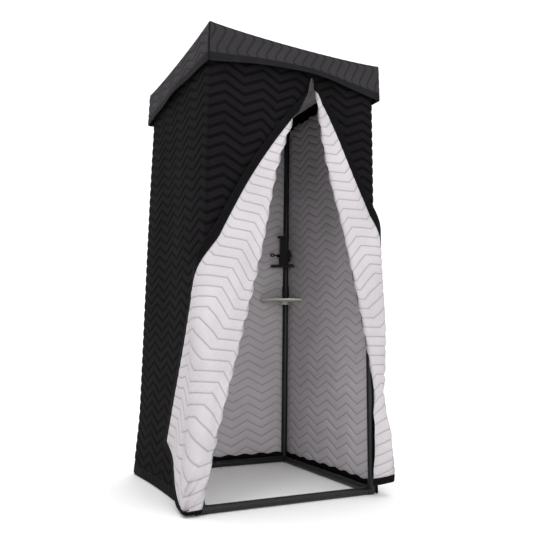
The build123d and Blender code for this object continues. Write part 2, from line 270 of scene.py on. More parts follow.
@dataclass(frozen=True)
class QuiltedFinish:
    """Brushed polyester cloth, stitched in zigzag rows through its wadding."""

    name: str
    colour: Colour
    # Darker colour: random tone in the blotches, and painted shade in the creases along the stitch rows.
    shade: Colour
    thread: Colour
    roughness: float
    sheen: float
    gloss: float = 0.06
    crease_shade_width: float = 0.008
    weave_pitch: float = 0.0021
    weave_depth: float = 0.00022
    stitch_length: float = 0.0075
    row_pitch: float = 0.049

    def make(self) -> bpy.types.Material:
        """Builds the material: weave, painted shade in the hollows along the stitch rows, thread, and soft
        blotches.
        """
        shader = Shader(
            self.name,
            {"Sheen Weight": self.sheen, "Sheen Roughness": 0.5, "Specular IOR Level": self.gloss},
        )
        along, level = shader.uv("quilt")
        across_cloth, up_cloth = shader.uv("cloth")
        from_row = abs((level + 0.5).fraction() - 0.5) * self.row_pitch
        warp = (across_cloth / self.weave_pitch).wave()
        weft = (up_cloth / self.weave_pitch).wave()
        weave = warp * weft * 0.5 + 0.5
        # Painted shade: a dark band along each stitch row, where the wadding dips between the puffs.
        painted_crease_shade = from_row.band(self.crease_shade_width, 0.0004)
        thread = from_row.band(0.0011, 0.0006)
        stitch = thread * abs((along / self.stitch_length).wave()).band(0.12, 0.4)
        blotch = shader.noise(5.0, 4.0)
        fleck = shader.noise(260.0, 2.0)
        tone = (blotch - 0.5) * 0.5 + (fleck - 0.5) * 0.5 + 0.22
        pile = shader.mix(self.colour, self.shade, tone.maths("MULTIPLY", 1.0, clamp=True))
        # Painted shade darkens the creases along the stitch rows.
        pile_with_crease_shade = shader.mix(pile, self.shade, painted_crease_shade * 0.75)
        sewn = shader.mix(pile_with_crease_shade, self.thread, stitch * 0.85)
        roughness = self.roughness + (fleck - 0.5) * 0.16 - stitch * 0.2
        relief = weave * 0.35 + fleck * 0.35 + stitch * 0.6 - painted_crease_shade * 0.5
        return shader.finish(sewn, roughness, relief, self.weave_depth)


@dataclass(frozen=True)
class TapeFinish:
    """Ribbed binding tape, with a row of topstitching along each edge."""

    name: str
    colour: Colour
    light: Colour
    width: float
    rib_pitch: float = 0.0026
    stitch_inset: float = 0.0035
    stitch_length: float = 0.006

    def make(self) -> bpy.types.Material:
        """Builds the material: ribs across the tape, two stitch rows, and rubbed lighter patches."""
        shader = Shader(self.name, {"Sheen Weight": 0.0, "Specular IOR Level": 0.04})
        along, across = shader.uv("quilt")
        ribs = (along / self.rib_pitch).wave() * 0.5 + 0.5
        from_edge = self.width / 2 - abs(across - self.width / 2)
        row = abs(from_edge - self.stitch_inset).band(0.0011, 0.0004)
        stitch = row * abs((along / self.stitch_length).wave()).band(0.15, 0.45)
        rubbed = shader.noise(14.0, 5.0).band(0.5, 0.85)
        fibre = shader.noise(420.0, 2.0)
        base = shader.mix(self.colour, self.light, rubbed * 0.35 + fibre * 0.18)
        sewn = shader.mix(base, self.light, stitch * 0.9)
        roughness = 0.72 - rubbed * 0.12 + (fibre - 0.5) * 0.2
        relief = ribs * 0.4 + stitch * 0.7 + fibre * 0.3
        return shader.finish(sewn, roughness, relief, 0.0002)


@dataclass(frozen=True)
class MouldedFinish:
    """Extruded or moulded plastic: a fine grain, rubbed streaks and a little dust on top."""

    name: str
    colour: Colour
    worn: Colour
    roughness: float
    grain: float = 900.0
    grain_depth: float = 0.00006
    streaks: tuple[float, float, float] = (1.0, 1.0, 1.0)
    coat: float = 0.0

    def make(self) -> bpy.types.Material:
        """Builds the material: grain, streaks of wear and a dusty upper side."""
        shader = Shader(
            self.name, {"Coat Weight": self.coat, "Coat Roughness": 0.3, "Specular IOR Level": 0.3}
        )
        grain = shader.noise(self.grain, 2.0)
        streak = shader.noise(38.0, 6.0, shader.place(self.streaks)).band(0.52, 0.78)
        cloud = shader.noise(7.0, 3.0)
        rubbed = shader.mix(self.colour, self.worn, streak * 0.4 + (cloud - 0.5) * 0.3)
        facing = shader.node("ShaderNodeNewGeometry", {}, {})
        up = Field(shader, shader.node("ShaderNodeSeparateXYZ", {}, {0: facing.outputs["Normal"]}).outputs[2])
        dust = up.band(0.35, 1.0) * shader.noise(60.0, 5.0).band(0.3, 0.8) * 0.35
        dusted = shader.mix(rubbed, self.worn, dust)
        roughness = self.roughness + streak * 0.14 + (grain - 0.5) * 0.12 + dust * 0.3
        return shader.finish(dusted, roughness, grain + streak * 0.2, self.grain_depth)


@dataclass(frozen=True)
class BoardFinish:
    """Cream laminate: a fine mottle, hairline scratches and a faint ring or two of wear."""

    name: str
    colour: Colour
    mottle: Colour
    roughness: float = 0.42

    def make(self) -> bpy.types.Material:
        """Builds the material."""
        shader = Shader(self.name, {"Specular IOR Level": 0.45})
        speckle = shader.noise(340.0, 3.0).band(0.42, 0.7)
        cloud = shader.noise(18.0, 4.0)
        scratch = shader.noise(70.0, 5.0, shader.place((1.0, 14.0, 1.0))).band(0.62, 0.72)
        base = shader.mix(self.colour, self.mottle, speckle * 0.45 + (cloud - 0.5) * 0.4)
        scuffed = shader.mix(base, self.mottle, scratch * 0.3)
        roughness = self.roughness + scratch * 0.2 + (cloud - 0.5) * 0.15
        return shader.finish(scuffed, roughness, speckle * 0.3 - scratch * 0.6, 0.00008)


@dataclass(frozen=True)
class FloorFinish:
    """The plain pale studio floor."""

    name: str = "studio_floor"
    colour: Colour = (0.99, 0.99, 0.99)

    def make(self) -> bpy.types.Material:
        """Builds the material."""
        shader = Shader(self.name, {"Specular IOR Level": 0.1})
        cloud = shader.noise(0.8, 2.0)
        base = shader.mix(self.colour, (0.97, 0.97, 0.97), cloud)
        return shader.finish(base, 0.9 - cloud * 0.05, cloud, 0.0001)


class Finishes:
    """Every finish of the booth, made once."""

    def __init__(self) -> None:
        """Makes the materials."""
        black, grey = (0.0030, 0.0028, 0.0032), (0.022, 0.021, 0.023)
        # Quilted finishes take colour, darker colour (random tone and painted crease shade), thread, roughness,
        # sheen, then gloss and painted crease shade width where given.
        self.cover = QuiltedFinish(
            "cover_cloth", (0.0108, 0.0096, 0.0108), (0.0006, 0.0005, 0.0006), (0.009, 0.008, 0.010),
            0.82, 0.004, 0.018, 0.015,
        ).make()
        self.lining = QuiltedFinish(
            "lining_cloth", (0.535, 0.512, 0.528), (0.25, 0.225, 0.245), (0.41, 0.38, 0.405), 0.80, 0.0, 0.1,
            0.0052,
        ).make()
        self.roof = QuiltedFinish(
            "roof_cloth", (0.036, 0.033, 0.037), (0.008, 0.007, 0.009), (0.040, 0.038, 0.042), 0.84, 0.02
        ).make()
        self.roof_tape = TapeFinish("roof_tape", (0.010, 0.0094, 0.0105), (0.022, 0.021, 0.023), 0.04).make()
        self.tape = TapeFinish("binding_tape", black, (0.011, 0.0105, 0.0115), 0.036).make()
        self.hem = TapeFinish("hem_tape", black, (0.011, 0.0105, 0.0115), 0.045).make()
        self.tube = MouldedFinish(
            "frame_pipe", (0.0075, 0.0075, 0.008), (0.034, 0.034, 0.036), 0.36, 700.0, 0.00004,
            (1.0, 1.0, 0.12),
        ).make()
        self.fitting = MouldedFinish("corner_fitting", (0.008, 0.008, 0.0085), grey, 0.5).make()
        self.holder = MouldedFinish("holder_nylon", (0.012, 0.012, 0.013), grey, 0.5, 1200.0).make()
        self.rubber = MouldedFinish("holder_rubber", (0.016, 0.016, 0.016), grey, 0.85, 500.0).make()
        self.hardware = MouldedFinish(
            "holder_knob", (0.014, 0.014, 0.015), (0.05, 0.05, 0.052), 0.4, 800.0, 0.00008, (4.0, 4.0, 1.0)
        ).make()
        self.board = BoardFinish("shelf_laminate", (0.60, 0.585, 0.50), (0.47, 0.455, 0.38)).make()
        self.collar = MouldedFinish(
            "shelf_fitting", (0.62, 0.60, 0.53), (0.46, 0.44, 0.38), 0.5, 900.0
        ).make()
        self.floor = FloorFinish().make()


# ---------------------------------------------------------------- cloth
@dataclass(frozen=True)
class Cut:
    """A straight cut across flat cloth, which keeps the side that its arrow points to."""

    point: Pair
    keep: Pair
    puff_left: float = 0.0
    puff_back: float = 0.022


@dataclass(frozen=True)
class Quilting:
    """Zigzag rows of stitching, and how far the wadding puffs up between them."""

    pitch: float = 0.049
    period: float = 0.19
    rise: float = 0.046
    stitched: float = 0.0017
    puff: float = 0.0046
    start: float = 0.0
    upright: bool = False
    steps: tuple[float, ...] = (0.0, 0.07, 0.24, 0.5, 0.76, 0.93)
    columns: int = 8

    def zigzag(self, along: Array) -> Array:
        """How far a row is above its lowest point, along the row."""
        turn = (along + self.start) / self.period
        return self.rise * np.abs(2.0 * (turn - np.floor(turn)) - 1.0)

    def split(self, u: Array, v: Array) -> tuple[Array, Array]:
        """Along a row and square to the rows, for a point of the cloth."""
        return (v, u) if self.upright else (u, v)

    def level(self, u: Array, v: Array) -> Array:
        """The number of the row that a point is on, with the share of the way to the next."""
        along, square = self.split(u, v)
        return (square - self.zigzag(along)) / self.pitch

    def half(self, u: Array, v: Array) -> Array:
        """Half the cloth's thickness at a point."""
        share = self.level(u, v)
        share = share - np.floor(share)
        return self.stitched + self.puff * np.abs(np.sin(math.pi * share)) ** 0.5

    def rows(self, u: Array, v: Array) -> Array:
        """The length along a row and the row's number, as the second UV map."""
        return np.column_stack([self.split(u, v)[0], self.level(u, v)])

    def pinched(self, edges: Iterable[Cut]) -> Measure:
        """Half the thickness where the wadding is pressed flat towards some edges.

        Args:
            edges: the edges, each with the way from it into the cloth.

        Returns:
            The half thickness as a measure of flat points.
        """
        lines = list(edges)

        def half(u: Array, v: Array) -> Array:
            """The half thickness itself."""
            share = np.ones(len(u))
            for line in lines:
                away = (u - line.point[0]) * line.keep[0] + (v - line.point[1]) * line.keep[1]
                away = away / math.hypot(*line.keep)
                whole = smooth(np.abs(away), 0.0, line.puff_back)
                share = share * (line.puff_left + (1.0 - line.puff_left) * whole)
            return self.stitched + (self.half(u, v) - self.stitched) * share

        return half

    def grid(self, low: Pair, high: Pair) -> bmesh.types.BMesh:
        """Flat cloth whose rows of corners follow the stitching.

        Args:
            low: the lowest u and v.
            high: the highest u and v.

        Returns:
            A flat mesh over the rectangle, with u as x and v as y.
        """
        (a0, s0), (a1, s1) = self.split(*low), self.split(*high)
        step = self.period / self.columns
        alongs = np.arange(math.floor(a0 / step), math.ceil(a1 / step) + 1) * step
        rows = range(math.floor((s0 - self.rise) / self.pitch), math.ceil(s1 / self.pitch) + 1)
        flat = bmesh.new()
        previous: list[bmesh.types.BMVert] = []
        for level in (row + share for row in rows for share in self.steps):
            squares = level * self.pitch + self.zigzag(alongs)
            points = zip(squares, alongs) if self.upright else zip(alongs, squares)
            current = [flat.verts.new((x, y, 0.0)) for x, y in points]
            for i in range(len(current) - 1 if previous else 0):
                corners = [previous[i], previous[i + 1], current[i + 1], current[i]]
                flat.faces.new(corners[::-1] if self.upright else corners)
            previous = current
        for point, keep in ((low, (1, 0)), (low, (0, 1)), (high, (-1, 0)), (high, (0, -1))):
            trim(flat, Cut(point, keep))
        return flat


def trim(flat: bmesh.types.BMesh, cut: Cut) -> None:
    """Cuts flat cloth along a line and drops the other side."""
    bmesh.ops.bisect_plane(
        flat,
        geom=flat.verts[:] + flat.edges[:] + flat.faces[:],
        dist=1e-6,
        plane_co=(*cut.point, 0.0),
        plane_no=(*cut.keep, 0.0),
        clear_inner=True,
    )


def even_grid(low: Pair, high: Pair, step: Pair = TAPE_CELL) -> bmesh.types.BMesh:
    """Flat tape in plain rectangles.

    Args:
        low: the lowest u and v.
        high: the highest u and v.
        step: the largest side of a rectangle along u and v.

    Returns:
        A flat mesh, with u as x and v as y.
    """
    counts = [max(1, math.ceil((high[i] - low[i]) / step[i])) for i in (0, 1)]
    us, vs = (np.linspace(low[i], high[i], counts[i] + 1) for i in (0, 1))
    flat = bmesh.new()
    rows = [[flat.verts.new((u, v, 0.0)) for u in us] for v in vs]
    for lower, upper in zip(rows, rows[1:]):
        for i in range(len(us) - 1):
            flat.faces.new([lower[i], lower[i + 1], upper[i + 1], upper[i]])
    return flat


class Cloth:
    """One piece of cloth: cut flat, laid on a surface, and given its thickness."""

    NORMAL_STEP = 0.0015

    def __init__(self, flat: bmesh.types.BMesh, surface: Surface, half: Measure, rows: Surface) -> None:
        """Takes the flat cloth.

        Args:
            flat: the mesh of the flat cloth, which is freed at the end.
            surface: the place of a flat point on the middle of the cloth.
            half: half the thickness at a flat point.
            rows: the lengths along and across the stitching, for the second UV map.
        """
        self.flat, self.surface, self.half, self.rows = flat, surface, half, rows

    def normal(self, place: Surface, u: Array, v: Array) -> Array:
        """The direction out of a surface, from points a small step to each side.

        Args:
            place: the surface.
            u: the flat points' first lengths.
            v: their second lengths.

        Returns:
            One direction of length 1 for each point.
        """
        step = self.NORMAL_STEP
        run = place(u + step, v) - place(u - step, v)
        climb = place(u, v + step) - place(u, v - step)
        out = np.cross(run, climb)
        return out / np.maximum(np.linalg.norm(out, axis=1, keepdims=True), TINY)

    def face(self, u: Array, v: Array, side: float) -> Array:
        """Points on the outer face, or the inner one where side is -1."""
        return self.surface(u, v) + self.normal(self.surface, u, v) * (side * self.half(u, v))[:, None]

    def face_normal(self, u: Array, v: Array, side: float) -> Array:
        """The direction out of a puffed face."""
        return side * self.normal(lambda a, b: self.face(a, b, side), u, v)

    def make(self, name: str, outer: bpy.types.Material, inner: bpy.types.Material,
             edge: bpy.types.Material) -> bpy.types.Object:
        """Makes the closed piece.

        Args:
            name: the piece's name.
            outer: the finish of the outer face.
            inner: the finish of the inner face.
            edge: the finish of the cut edge.

        Returns:
            The new object, linked to the scene.
        """
        flat = self.flat
        flat.verts.index_update()
        count = len(flat.verts)
        uv = np.array([v.co.xy for v in flat.verts], float).reshape(-1, 2)
        u, v = uv[:, 0], uv[:, 1]
        points = np.vstack([self.face(u, v, 1.0), self.face(u, v, -1.0)])
        normals = np.vstack([self.face_normal(u, v, 1.0), self.face_normal(u, v, -1.0)])
        faces: list[list[int]] = []
        slots: list[int] = []
        for cell in flat.faces:
            ring = [corner.index for corner in cell.verts]
            faces += [ring, [i + count for i in reversed(ring)]]
            slots += [0, 1]
        for line in flat.edges:
            if line.is_boundary:
                loop = line.link_loops[0]
                first, second = loop.vert.index, loop.link_loop_next.vert.index
                faces.append([second, first, first + count, second + count])
                slots.append(2)
        flat.free()
        mesh = bpy.data.meshes.new(name)
        mesh.from_pydata(points.tolist(), [], faces)
        for finish in (outer, inner, edge):
            mesh.materials.append(finish)
        mesh.polygons.foreach_set("material_index", slots)
        mesh.polygons.foreach_set("use_smooth", [True] * len(slots))
        corner_vertex = np.zeros(len(mesh.loops), int)
        mesh.loops.foreach_get("vertex_index", corner_vertex)
        flat_point = corner_vertex % count
        for layer, pair in (("cloth", uv), ("quilt", self.rows(u, v))):
            made = mesh.uv_layers.new(name=layer)
            made.data.foreach_set("uv", pair[flat_point].astype(np.float32).ravel())
        corner_normals = normals[corner_vertex]
        for polygon, slot in zip(mesh.polygons, slots):
            if slot == 2:
                corner_normals[polygon.loop_start : polygon.loop_start + polygon.loop_total] = polygon.normal
        mesh.validate()
        mesh.normals_split_custom_set(corner_normals.tolist())
        return link(name, mesh)


def plain_rows(low: float = 0.0) -> Surface:
    """Lengths along and across a tape that has no quilting.

    Args:
        low: the height that the tape starts at.

    Returns:
        The two lengths as a function of flat points.
    """
    return lambda u, v: np.column_stack([u, v - low])


def rounded(share: Array, width: float, least: float = 0.05) -> Array:
    """How thick a folded tape is near its fold, as a share of its full thickness.

    Args:
        share: how far across the tape a point is.
        width: how far across the rounding reaches.
        least: the smallest result before its root is taken.

    Returns:
        A quarter round that ends at 1.
    """
    return np.sqrt(np.clip(1.0 - (1.0 - np.minimum(share / width, 1.0)) ** 2, least, 1.0))


def link(name: str, mesh: bpy.types.Mesh) -> bpy.types.Object:
    """Puts a mesh in the scene under a name."""
    made = bpy.data.objects.new(name, mesh)
    bpy.context.scene.collection.objects.link(made)
    return made


def smooth(value: Array, low: float, high: float) -> Array:
    """Runs from 0 at low to 1 at high without a corner."""
    share = np.clip((value - low) / (high - low), 0.0, 1.0)
    return share * share * (3.0 - 2.0 * share)


def hill(value: Array, centre: float, width: float) -> Array:
    """A smooth hump, 1 at its centre and near 0 two widths away."""
    return np.exp(-(((value - centre) / width) ** 2))


def corner_path(along: Array, plane: float, radius: float) -> tuple[Array, Array, Array, Array]:
    """Follows a wall from its middle and round the rounded corner at each end.

    Args:
        along: the length of cloth from the wall's middle.
        plane: the booth's middle to the wall.
        radius: the radius of the corner.

    Returns:
        How far along and how far out a point is, and the two parts of the direction out.
    """
    straight = plane - radius
    sign = np.sign(along)
    turn = np.clip((np.abs(along) - straight) / radius, 0.0, math.pi / 2)
    past = np.maximum(np.abs(along) - straight - radius * math.pi / 2, 0.0)
    reach = np.minimum(np.abs(along), straight) + radius * np.sin(turn)
    out = plane - radius + radius * np.cos(turn) - past
    return sign * reach, out, sign * np.sin(turn), np.cos(turn)


class Side(Enum):
    """One side of the booth, with the direction out of it and the direction to its right from outside."""

    FRONT = ("front", (0.0, -1.0), (1.0, 0.0))
    RIGHT = ("right", (1.0, 0.0), (0.0, 1.0))
    BACK = ("back", (0.0, 1.0), (-1.0, 0.0))
    LEFT = ("left", (-1.0, 0.0), (0.0, -1.0))

    def at(self, along: Array, out: Array, height: Array) -> Array:
        """Points from how far along, how far out and how high they are."""
        _, (ox, oy), (ax, ay) = self.value
        return np.column_stack([along * ax + out * ox, along * ay + out * oy, height])


def settle(piece: bpy.types.Object, body: str, slot: str, *nodes: str) -> bpy.types.Object:
    """Rides a piece on a body and hides the CAD nodes that it stands for."""
    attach(piece, body)
    if nodes:
        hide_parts(*nodes)
    logging.info("%s rides on %s", piece.name, body)
    return piece


# ---------------------------------------------------------------- the cover
@dataclass
class Cover:
    """The band of quilted cloth round the frame: three whole walls, their hems and the rail sleeves."""

    finishes: Finishes
    radius: float = 0.026
    hem_half: float = 0.0052
    hem_overlap: float = 0.006
    hem_fold: float = 0.12
    wave: float = 0.0035
    kick: float = 0.016
    kick_height: float = 0.35
    sleeve_slack: float = 0.0018
    sleeve_half: float = 0.0009
    sleeve_tab: float = 0.062
    quilting: Quilting = field(default_factory=Quilting)

    def __post_init__(self) -> None:
        """Reads the walls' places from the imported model."""
        low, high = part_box("left_wall")
        self.plane = -(low.x + high.x) / 2
        self.bottom, self.top = low.z, high.z
        self.hem_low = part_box("left_wall_hem")[0].z
        self.width = 2 * (self.plane - self.radius) + math.pi * self.radius / 2

    def sway(self, side: Side, along: Array, height: Array) -> Array:
        """How far a wall stands out of flat, which is nothing along its top."""
        phase = {Side.FRONT: 0.4, Side.RIGHT: 1.9, Side.BACK: 3.1, Side.LEFT: 4.4}[side]
        loose = smooth(self.top - height, 0.02, 0.5)
        folds = np.sin(along * 11.0 + phase + 0.7 * height) * (1.0 + 0.5 * np.sin(height * 3.1 + phase))
        out = self.wave * loose * folds
        if side in (Side.LEFT, Side.BACK):
            far = -along if side is Side.LEFT else along
            low = smooth(self.kick_height - height, 0.0, self.kick_height)
            out = out + self.kick * low * smooth(far, 0.15, 0.46)
        return out

    def surface(self, side: Side) -> Surface:
        """The middle of one wall's cloth.

        Args:
            side: the wall.

        Returns:
            The place of a point from its length along the cloth and its height.
        """

        def place(along: Array, height: Array) -> Array:
            """The point itself."""
            reach, out, lean, stand = corner_path(along, self.plane, self.radius)
            sway = self.sway(side, along, height)
            return side.at(reach + lean * sway, out + stand * sway, height)

        return place

    def walls(self) -> None:
        """Makes the left, right and back walls and their hems."""
        half = self.width / 2
        for side in (Side.LEFT, Side.RIGHT, Side.BACK):
            name = side.value[0]
            flat = self.quilting.grid((-half, self.bottom), (half, self.top))
            puffed = self.quilting.pinched([Cut((0.0, self.bottom), (0.0, 1.0))])
            wall = Cloth(flat, self.surface(side), puffed, self.quilting.rows).make(
                f"{name}_wall_cloth", self.finishes.cover, self.finishes.lining, self.finishes.hem
            )
            settle(wall, "booth", "cover_quilt", f"{name}_wall")
            hem = self.hem(side, -half, half)
            settle(hem, "booth", "black_binding", f"{name}_wall_hem")

    def hem(self, side: Side, low: float, high: float) -> bpy.types.Object:
        """The tape folded over the bottom edge of one wall.

        Args:
            side: the wall.
            low: where the tape starts along the cloth.
            high: where it ends.

        Returns:
            The tape.
        """
        flat = even_grid((low, self.hem_low), (high, self.bottom + self.hem_overlap))
        height = self.bottom + self.hem_overlap - self.hem_low

        def half(u: Array, v: Array) -> Array:
            """The tape is rounded where it folds and tight where it is sewn."""
            share = (v - self.hem_low) / height
            sewn = 1.0 + 0.12 * np.sin(u * 120.0) * share
            folded = rounded(share, self.hem_fold, 0.04)
            return self.hem_half * np.where(share < self.hem_fold, folded, sewn)

        def wavy(u: Array, v: Array) -> Array:
            """The tape's upper edge runs a little up and down with the quilting."""
            share = np.clip((v - self.hem_low) / height, 0.0, 1.0)
            return self.surface(side)(u, v + 0.004 * share * np.sin(u * 62.0))

        cloth = Cloth(flat, wavy, half, plain_rows(self.hem_low))
        return cloth.make(f"{side.value[0]}_wall_tape", *[self.finishes.hem] * 3)

    def sleeve_surface(self, side: Side, out: float, height: float, radius: float) -> Surface:
        """The middle of the cloth from its seam with the wall, round a top rail and down to a free edge.

        Args:
            side: the side of the booth.
            out: the booth's middle to the rail's middle.
            height: the height of the rail's middle.
            radius: the radius that the cloth follows.

        Returns:
            The place of a point from its length along the rail and its length round it.
        """
        seam, tab = self.sleeve_turn(radius), self.sleeve_tab

        def place(u: Array, v: Array) -> Array:
            """The point itself."""
            angle = np.minimum(v, seam) / radius
            past = np.maximum(v - seam, 0.0)
            wave = 0.003 * np.sin(u * 44.0) + 0.002 * np.sin(u * 97.0 + 1.0)
            loose = radius + 0.0009 * np.sin(u * 33.0 + v * 90.0)
            across = np.where(v > seam, out - loose, out + loose * np.sin(angle) - past * 0.02)
            fallen = height - past * (1.0 + wave / tab)
            level = np.where(v > seam, fallen, height - loose * np.cos(angle))
            return side.at(u, across + wave * past / tab, level)

        return place

    def sleeve_turn(self, radius: float) -> float:
        """The length of cloth that lies round a rail."""
        return 1.5 * math.pi * radius

    def sleeves(self) -> None:
        """Makes the cloth sleeve that holds each top rail, with its seam to the wall."""
        for side in Side:
            name = side.value[0]
            low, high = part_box(f"top_rail_{name}")
            centre = (low + high) / 2
            long_way = 0 if side in (Side.FRONT, Side.BACK) else 1
            radius = (high.z - low.z) / 2 + self.sleeve_slack
            reach = (high[long_way] - low[long_way]) / 2
            length = self.sleeve_turn(radius) + self.sleeve_tab
            flat = even_grid((-reach, 0.0), (reach, length), (0.012, 0.007))
            surface = self.sleeve_surface(side, abs(centre[1 - long_way]), centre.z, radius)
            cloth = Cloth(flat, surface, lambda u, v: np.full(len(u), self.sleeve_half), plain_rows())
            sleeve = cloth.make(f"{name}_rail_sleeve", *[self.finishes.hem] * 3)
            settle(sleeve, "booth", "black_binding", f"{name}_rail_pocket")


# ---------------------------------------------------------------- the door
@dataclass
class DoorFlap:
    """Half of the front: the fixed wall, and the flap folded back over it and round its post.

    Attributes:
        foot_z: the height at which the fold meets the post.
        bow, bow_high, mouth: how far the fold is drawn towards the post, in all, high up and at the top.
        shear: how strongly the cloth below the fold's foot is drawn in.
        drop, foot_drop: how far the far cloth and the foot hang down.
        billow, flare, foot_flare: how far the cloth bellies and kicks out, and the kick's height and width.
        edge: the free edge's reach past the slit at a few heights of the closed door.
        behind: how far the folded cloth stands off the wall.
        row_start: where the flap's zigzag starts.
        split: where the cloth over the wall meets the cloth round the post.
    """

    cover: Cover
    name: str
    sign: int
    foot_z: float
    bow: float
    bow_high: float
    shear: float
    drop: float
    foot_drop: float
    billow: float
    flare: float
    edge: tuple[Pair, ...]
    behind: float
    row_start: float
    foot_flare: Pair
    apex_x: float = 0.082
    apex_z: float = 1.985
    flap_bottom: float = 0.02
    tape_width: float = 0.036
    tape_half: float = 0.0048
    seam_gap: float = 0.0006
    slit_gap: float = 0.003
    post_radius: float = 0.075
    split: float = 0.400
    most: float = 0.034
    corner_lift: float = 0.016
    lap: float = 0.003
    mouth: float = 0.010
    swing: float = 0.13
    floor_gap: float = 0.008
    settled: float = 0.03
    calm_reach: float = 0.476
    spare_reach: float = 0.031
    corner_flare: float = 0.034

    # Where the drape lies. Shares of the fold's length from its foot:
    HIGH_BOW = (0.76, 0.19)
    MOUTH_RUN = (0.6, 0.9)
    HIGH_END, MOUTH_END = 0.12, 0.022
    # Metres across the fold, on the wall's side of it:
    WALL_DRAWN = (-0.22, 0.0)
    WALL_FLAT = (-0.09, -0.01)
    # Metres towards the post, along the cloth:
    FAR_SAG = (0.44, 0.63)
    FOOT_SAG = (0.52, 0.10)
    BELLY_PLACE = (0.36, 0.16)
    KICK_START = (0.34, 0.5)
    KICK_END, KICK_FADE = 0.75, 0.2
    # Heights:
    FOOT_HEIGHT = (0.05, 0.5)
    BELLY_HEIGHT = (0.75, 0.55)

    def __post_init__(self) -> None:
        """Works out the fold line, measured towards the flap's own post."""
        low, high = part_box(f"{self.name}_flap")
        self.folded = -(low.y + high.y) / 2
        self.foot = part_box("left_wall")[1].x * -1.0
        run = (self.sign * self.apex_x - self.foot, self.apex_z - self.foot_z)
        self.length = math.hypot(*run)
        self.run = (run[0] / self.length, run[1] / self.length)
        self.across = (-self.run[1], self.run[0])
        self.roll = (self.folded - self.cover.plane) / 2
        self.roll_width = math.pi * self.roll

    def to_fold(self, x: Array, z: Array) -> tuple[Array, Array]:
        """Along the fold from its foot, and across it towards the flap, for a point of the closed door."""
        q, h = self.sign * x - self.foot, z - self.foot_z
        return q * self.run[0] + h * self.run[1], q * self.across[0] + h * self.across[1]

    def surface(self, x: Array, z: Array) -> Array:
        """Where a point of the closed door is once its flap is folded back.

        Args:
            x: along the front wall.
            z: its height.

        Returns:
            The point on the middle of the cloth.
        """
        along, across = self.to_fold(x, z)
        share = np.clip(along / self.length, 0.0, 1.0)
        bow = self.bow * np.sin(math.pi * share) ** 0.8
        bow = bow + self.bow_high * hill(share, *self.HIGH_BOW) * smooth(1.0 - share, 0.0, self.HIGH_END)
        bow = bow + self.mouth * smooth(share, *self.MOUTH_RUN) * smooth(1.0 - share, 0.0, self.MOUTH_END)
        wall = self.wall(x, z, across, bow)
        lapel = self.lapel(along, across, bow)
        return np.where((across < 0.0)[:, None], wall, lapel)

    def wall(self, x: Array, z: Array, across: Array, bow: Array) -> Array:
        """The fixed cloth, drawn towards its post beside the fold."""
        drawn = self.sign * bow * smooth(across, *self.WALL_DRAWN)
        placed = self.cover.surface(Side.FRONT)(x + drawn, z)
        near = smooth(across, *self.WALL_FLAT)
        placed[:, 1] = placed[:, 1] * (1.0 - near) - self.cover.plane * near
        return placed

    def lapel(self, along: Array, across: Array, bow: Array) -> Array:
        """The fold's roll, the cloth over the front wall, and the cloth round the post."""
        angle = np.clip(across / self.roll_width, 0.0, 1.0) * math.pi
        past = np.maximum(across - self.roll_width, 0.0)
        toward = self.roll * np.sin(angle) - past
        q = self.foot + along * self.run[0] + toward * self.across[0] + bow
        z = self.foot_z + along * self.run[1] + toward * self.across[1]
        q, z = self.hang(q, z, past)
        reach, out, lean, stand = corner_path(q, self.folded, self.post_radius)
        puffed = self.stand_off(q, z, past)
        lift = (self.folded - self.cover.plane) * (0.5 + 0.5 * np.cos(angle))
        out = out - lift
        corner = 2.0 * np.abs(lean) * stand * smooth(past, 0.0, 0.05)
        puffed = puffed + corner * (self.corner_lift + self.corner_flare * hill(z, *self.foot_flare))
        reach, out = reach + lean * puffed, out + stand * puffed
        reach, out = self.within(reach), self.within(out)
        return np.column_stack([self.sign * reach, -out, z])

    def within(self, length: Array) -> Array:
        """Eases a length so that the cloth never stands further out than it may."""
        over = np.maximum(length - self.calm_reach, 0.0)
        return np.minimum(length, self.calm_reach) + self.spare_reach * np.tanh(over / self.spare_reach)

    def hang(self, q: Array, z: Array, past: Array) -> tuple[Array, Array]:
        """How the cloth's own weight draws the folded flap down.

        Args:
            q: towards the post, along the cloth.
            z: height, before the cloth hangs.
            past: how far the point is past the fold's roll.

        Returns:
            The same two once the cloth hangs.
        """
        over = np.maximum(q - self.folded, 0.0)
        below = np.maximum(self.foot_z + 0.03 - z, 0.0)
        q = q - self.shear * below**2 / (below + 0.06) - self.swing * over
        sag = self.drop * smooth(q, *self.FAR_SAG) * smooth(past, 0.0, 0.1)
        sag = sag + self.foot_drop * hill(q, *self.FOOT_SAG) * (1.0 - smooth(z, *self.FOOT_HEIGHT))
        hung = z - sag
        room = self.settled - self.floor_gap
        low = self.floor_gap + room * np.exp((hung - self.settled) / self.settled)
        return q, np.where(hung < self.settled, low, hung)

    def stand_off(self, q: Array, z: Array, past: Array) -> Array:
        """How far the folded flap bellies out from the wall behind it."""
        free = smooth(past, 0.0, 0.09)
        belly = self.billow * hill(z, *self.BELLY_HEIGHT) * hill(q, *self.BELLY_PLACE)
        fade = smooth(self.KICK_END - q, 0.0, self.KICK_FADE)
        kick = self.flare * hill(z, *self.foot_flare) * smooth(q, *self.KICK_START) * fade
        ripple = 0.004 * np.sin(9.0 * z + 14.0 * q) * smooth(q, 0.1, 0.5)
        ridge = 0.012 * hill(q - 0.10 * z, 0.38, 0.035) * smooth(1.0 - z, 0.0, 0.5)
        out = belly + kick + ripple + ridge + self.behind * smooth(past, 0.02, 0.1)
        return free * self.most * np.tanh(out / self.most)

    def to_q(self) -> tuple[Pair, Pair]:
        """A point where the folded flap meets its split, and the way out of it, on the closed door.

        Returns:
            The point and the direction towards the post side of the folded cloth.
        """
